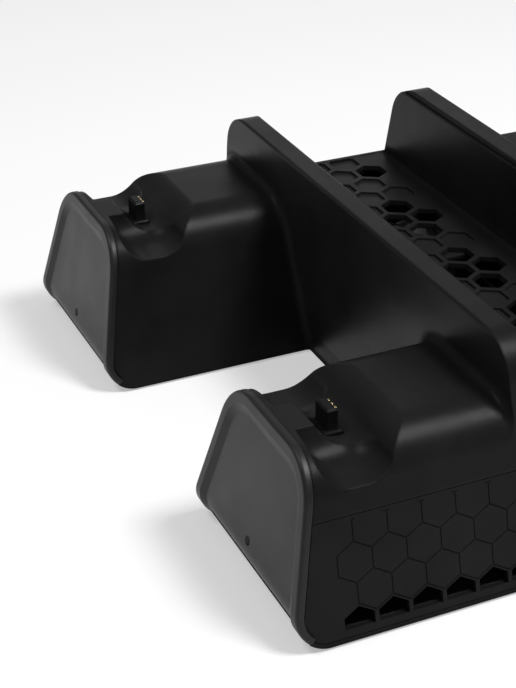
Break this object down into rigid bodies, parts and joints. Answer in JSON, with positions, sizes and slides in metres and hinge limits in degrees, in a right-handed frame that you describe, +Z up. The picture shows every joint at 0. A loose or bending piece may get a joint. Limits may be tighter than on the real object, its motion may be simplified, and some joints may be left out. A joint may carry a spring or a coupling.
{
  "type": "controller charging dock",
  "caption": "Black console stand with a vented slot between two walls and leaning dock arms whose saddles hold controllers on charging plugs, cooled by fans under the honeycomb floor.",
  "frame": {"origin": "on the table, under the middle of the stand", "axes": "+X along the walls to the right dock, +Y from the docks to the sockets at the back, +Z up"},
  "size_m": [0.2478, 0.18, 0.0792],
  "materials": {
    "black_shell": "fine satin grain",
    "black_panel": "fine grain",
    "grille_black": "satin",
    "cover_black": "satin",
    "plug_black": "satin",
    "contact_metal": "plated",
    "lens": "dark clear lens",
    "rubber": "matte",
    "fan_black": "satin",
    "coil": "wound copper wire",
    "board": "solder mask",
    "socket_metal": "bent sheet",
    "button_black": "satin",
    "switch_black": "satin"
  },
  "bodies": {
    "stand": {"upper_shell": "black_shell", "rear_cover": "black_shell", "side_panel_left": "black_panel", "side_panel_right": "black_panel", "base_cover": "black_panel", "vent_grille": "grille_black", "front_cover_left": "cover_black", "front_cover_right": "cover_black", "charging_plug_left": "plug_black", "charging_plug_right": "plug_black", "plug_contacts_left": "contact_metal", "plug_contacts_right": "contact_metal", "indicator_left": "lens", "indicator_right": "lens", "rubber_feet": "rubber", "fan_frame_left": "fan_black", "fan_frame_right": "fan_black", "fan_motor_left": "coil", "fan_motor_right": "coil", "dock_board_left": "board", "dock_board_right": "board", "main_board": "board", "usb_socket_left": "socket_metal", "usb_socket_right": "socket_metal", "power_inlet": "socket_metal", "button_switch": "switch_black"},
    "rotor_left": {"fan_rotor_left": "fan_black"},
    "rotor_right": {"fan_rotor_right": "fan_black"},
    "button": {"fan_button": "button_black"}
  },
  "joints": [
    {"name": "fan_left_spin", "type": "hinge", "parent": "stand", "child": "rotor_left", "pos_m": [-0.04711, 0.02685, 0.0346], "axis": [0, 0, 1], "continuous": true},
    {"name": "fan_right_spin", "type": "hinge", "parent": "stand", "child": "rotor_right", "pos_m": [0.04711, 0.02685, 0.0346], "axis": [0, 0, 1], "continuous": true},
    {"name": "button_press", "type": "slide", "parent": "stand", "child": "button", "axis": [0, -1, 0], "range_m": [0, 0.001], "stiffness_N_per_m": 400}
  ]
}
